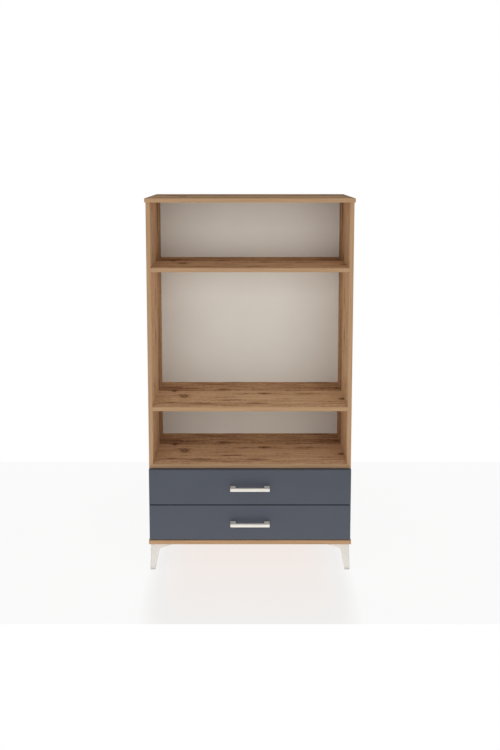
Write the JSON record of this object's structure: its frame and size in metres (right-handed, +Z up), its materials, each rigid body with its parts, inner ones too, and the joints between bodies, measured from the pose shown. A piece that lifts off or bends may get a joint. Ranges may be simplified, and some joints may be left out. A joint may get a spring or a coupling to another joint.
{
  "type": "bookcase with bottom drawers",
  "caption": "Tall wood-decor bookcase with fixed shelves in open bays over anthracite drawers with bar handles, on pale corner legs.",
  "frame": {"origin": "on the floor, in the middle of the footprint from the handles' front to the rear edge", "axes": "+X to the viewer's right, +Y to the back, +Z up; the drawers open towards -Y"},
  "size_m": [0.9, 0.43, 1.662],
  "materials": {
    "oak_decor": "matt melamine with a printed pine and oak grain",
    "white_board": "white lacquered hardboard",
    "anthracite_front": "matt blue-grey anthracite lacquer on board",
    "drawer_board": "pale grey melamine board",
    "silver_trim": "satin pale silver lacquer",
    "runner_steel": "white epoxy coat on folded sheet",
    "nylon": "white nylon",
    "zinc_steel": "zinc plated",
    "beech": "fluted beech dowel"
  },
  "bodies": {
    "carcass": {"top_board": "oak_decor", "bottom_board": "oak_decor", "side_panel_left": "oak_decor", "side_panel_right": "oak_decor", "deck_board": "oak_decor", "shelf_lower": "oak_decor", "shelf_upper": "oak_decor", "back_panel": "white_board", "leg_front_left": "silver_trim", "leg_front_right": "silver_trim", "leg_rear_left": "silver_trim", "leg_rear_right": "silver_trim", "leg_screws": "zinc_steel", "cam_locks": "zinc_steel", "cam_bolts": "zinc_steel", "dowels": "beech", "bottom_screws": "zinc_steel", "cabinet_rail_lower_left": "runner_steel", "cabinet_rail_lower_right": "runner_steel", "cabinet_rail_upper_left": "runner_steel", "cabinet_rail_upper_right": "runner_steel", "cabinet_rail_screws": "zinc_steel", "cabinet_axles": "zinc_steel"},
    "drawer_lower": {"drawer_lower_front": "anthracite_front", "drawer_lower_side_left": "drawer_board", "drawer_lower_side_right": "drawer_board", "drawer_lower_back": "drawer_board", "drawer_lower_bottom": "white_board", "drawer_lower_handle": "silver_trim", "drawer_lower_handle_screws": "zinc_steel", "drawer_lower_cam_locks": "zinc_steel", "drawer_lower_cam_bolts": "zinc_steel", "drawer_lower_dowels": "beech", "drawer_lower_box_screws": "zinc_steel", "drawer_lower_rail_left": "runner_steel", "drawer_lower_rail_right": "runner_steel", "drawer_lower_rail_screws": "zinc_steel", "drawer_lower_axles": "zinc_steel"},
    "drawer_upper": {"drawer_upper_front": "anthracite_front", "drawer_upper_side_left": "drawer_board", "drawer_upper_side_right": "drawer_board", "drawer_upper_back": "drawer_board", "drawer_upper_bottom": "white_board", "drawer_upper_handle": "silver_trim", "drawer_upper_handle_screws": "zinc_steel", "drawer_upper_cam_locks": "zinc_steel", "drawer_upper_cam_bolts": "zinc_steel", "drawer_upper_dowels": "beech", "drawer_upper_box_screws": "zinc_steel", "drawer_upper_rail_left": "runner_steel", "drawer_upper_rail_right": "runner_steel", "drawer_upper_rail_screws": "zinc_steel", "drawer_upper_axles": "zinc_steel"},
    "front_rollers_lower": {"front_rollers_lower": "nylon"},
    "rear_rollers_lower": {"rear_rollers_lower": "nylon"},
    "front_rollers_upper": {"front_rollers_upper": "nylon"},
    "rear_rollers_upper": {"rear_rollers_upper": "nylon"}
  },
  "joints": [
    {"name": "drawer_lower_slide", "type": "slide", "parent": "carcass", "child": "drawer_lower", "axis": [0, -1, 0], "range_m": [0, 0.26]},
    {"name": "drawer_upper_slide", "type": "slide", "parent": "carcass", "child": "drawer_upper", "axis": [0, -1, 0], "range_m": [0, 0.26]},
    {"name": "front_rollers_lower_spin", "type": "hinge", "parent": "carcass", "child": "front_rollers_lower", "pos_m": [0, -0.15, 0.1595], "axis": [1, 0, 0], "range_deg": [0, 1500]},
    {"name": "rear_rollers_lower_spin", "type": "hinge", "parent": "drawer_lower", "child": "rear_rollers_lower", "pos_m": [0, 0.159, 0.1595], "axis": [1, 0, 0], "range_deg": [0, 1500]},
    {"name": "front_rollers_upper_spin", "type": "hinge", "parent": "carcass", "child": "front_rollers_upper", "pos_m": [0, -0.15, 0.3225], "axis": [1, 0, 0], "range_deg": [0, 1500]},
    {"name": "rear_rollers_upper_spin", "type": "hinge", "parent": "drawer_upper", "child": "rear_rollers_upper", "pos_m": [0, 0.159, 0.3225], "axis": [1, 0, 0], "range_deg": [0, 1500]}
  ],
  "couplings": [
    {"joint": "front_rollers_lower_spin", "follows": "drawer_lower_slide", "rad_per_m": 100},
    {"joint": "rear_rollers_lower_spin", "follows": "drawer_lower_slide", "rad_per_m": 100},
    {"joint": "front_rollers_upper_spin", "follows": "drawer_upper_slide", "rad_per_m": 100},
    {"joint": "rear_rollers_upper_spin", "follows": "drawer_upper_slide", "rad_per_m": 100}
  ]
}
